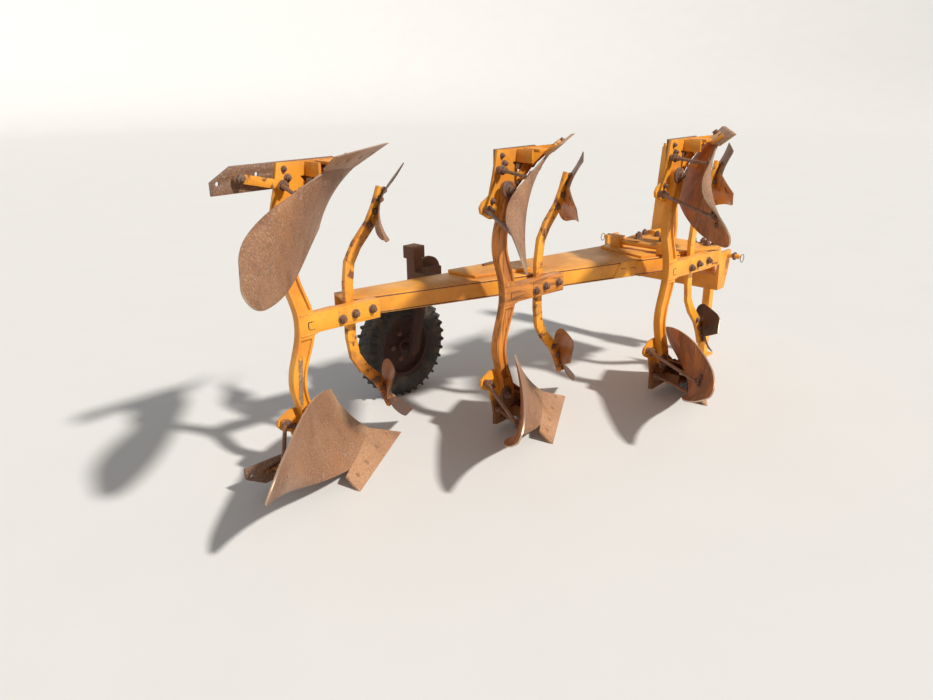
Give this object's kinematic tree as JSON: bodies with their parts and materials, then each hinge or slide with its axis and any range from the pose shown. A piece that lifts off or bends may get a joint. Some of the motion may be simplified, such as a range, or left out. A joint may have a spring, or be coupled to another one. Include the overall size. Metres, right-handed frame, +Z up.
{
  "type": "reversible moldboard plough",
  "caption": "Three-furrow reversible mounted moldboard plough with turnover headstock, skimmers, gauge wheel and three-point hitch.",
  "frame": {"origin": "floor level, under the middle of the whole plough's box", "axes": "+Y is the direction of travel, +X to the right seen from behind, +Z up"},
  "size_m": [1.78, 3.3184, 1.446],
  "materials": {
    "yellow_paint": "worn orange-yellow enamel with rust at chips and edges",
    "worn_steel": "brown rust film on scoured steel",
    "rusty_steel": "dark rusted steel",
    "bright_steel": "bright rod and screw",
    "tyre_rubber": "matt black rubber"
  },
  "bodies": {
    "headstock": {"mast": "yellow_paint", "hitch_frame": "yellow_paint"},
    "frame": {"beam": "yellow_paint", "beam_saddle": "yellow_paint", "leg_rear": "yellow_paint", "leg_mid": "yellow_paint", "leg_front": "yellow_paint", "stays_rear": "yellow_paint", "stays_mid": "yellow_paint", "stays_front": "yellow_paint", "skimmer_leg_rear": "yellow_paint", "skimmer_leg_mid": "yellow_paint", "skimmer_leg_front": "yellow_paint", "share_rear_lower": "worn_steel", "share_rear_upper": "worn_steel", "share_mid_lower": "worn_steel", "share_mid_upper": "worn_steel", "share_front_lower": "worn_steel", "share_front_upper": "worn_steel", "moldboard_rear_lower": "worn_steel", "moldboard_rear_upper": "worn_steel", "moldboard_mid_lower": "worn_steel", "moldboard_mid_upper": "worn_steel", "moldboard_front_lower": "worn_steel", "moldboard_front_upper": "worn_steel", "landside_rear_lower": "worn_steel", "landside_rear_upper": "worn_steel", "landside_mid_lower": "worn_steel", "landside_mid_upper": "worn_steel", "landside_front_lower": "worn_steel", "landside_front_upper": "worn_steel", "frog_rear_lower": "yellow_paint", "frog_rear_upper": "yellow_paint", "frog_mid_lower": "yellow_paint", "frog_mid_upper": "yellow_paint", "frog_front_lower": "yellow_paint", "frog_front_upper": "yellow_paint", "skimmer_rear_lower": "worn_steel", "skimmer_rear_upper": "worn_steel", "skimmer_mid_lower": "worn_steel", "skimmer_mid_upper": "worn_steel", "skimmer_front_lower": "worn_steel", "skimmer_front_upper": "worn_steel", "wheel_bracket": "rusty_steel", "carriage": "yellow_paint", "width_screw": "bright_steel", "turnover_crank": "yellow_paint"},
    "wheel_arm": {"wheel_arm": "rusty_steel"},
    "wheel": {"wheel_rim": "rusty_steel", "wheel_tyre": "tyre_rubber"},
    "barrel": {"cylinder_barrel": "yellow_paint"},
    "rod": {"cylinder_rod": "bright_steel"},
    "stand": {"stand_leg": "yellow_paint"}
  },
  "joints": [
    {"name": "turnover", "type": "hinge", "parent": "headstock", "child": "frame", "pos_m": [-0.14, 1.53261, 0.723], "axis": [0, 1, 0], "range_deg": [0, 180]},
    {"name": "wheel_arm_swing", "type": "hinge", "parent": "frame", "child": "wheel_arm", "pos_m": [-0.71, -0.01739, 0.723], "axis": [-1, 0, 0], "range_deg": [0, 154.72]},
    {"name": "wheel_spin", "type": "hinge", "parent": "wheel_arm", "child": "wheel", "pos_m": [-0.83, -0.11539, 0.286], "axis": [1, 0, 0], "continuous": true},
    {"name": "barrel_swing", "type": "hinge", "parent": "headstock", "child": "barrel", "pos_m": [-0.14, 1.62061, 1.173], "axis": [0, 1, 0], "range_deg": [-34.56, 0]},
    {"name": "rod_slide", "type": "slide", "parent": "barrel", "child": "rod", "axis": [-0.2971, 0, -0.9549], "range_m": [-0.1613, 0]},
    {"name": "stand_slide", "type": "slide", "parent": "headstock", "child": "stand", "axis": [0, 0, 1], "range_m": [0, 0.35]}
  ],
  "couplings": [
    {"joint": "barrel_swing", "follows": "turnover", "ratio": -0.19202}
  ]
}
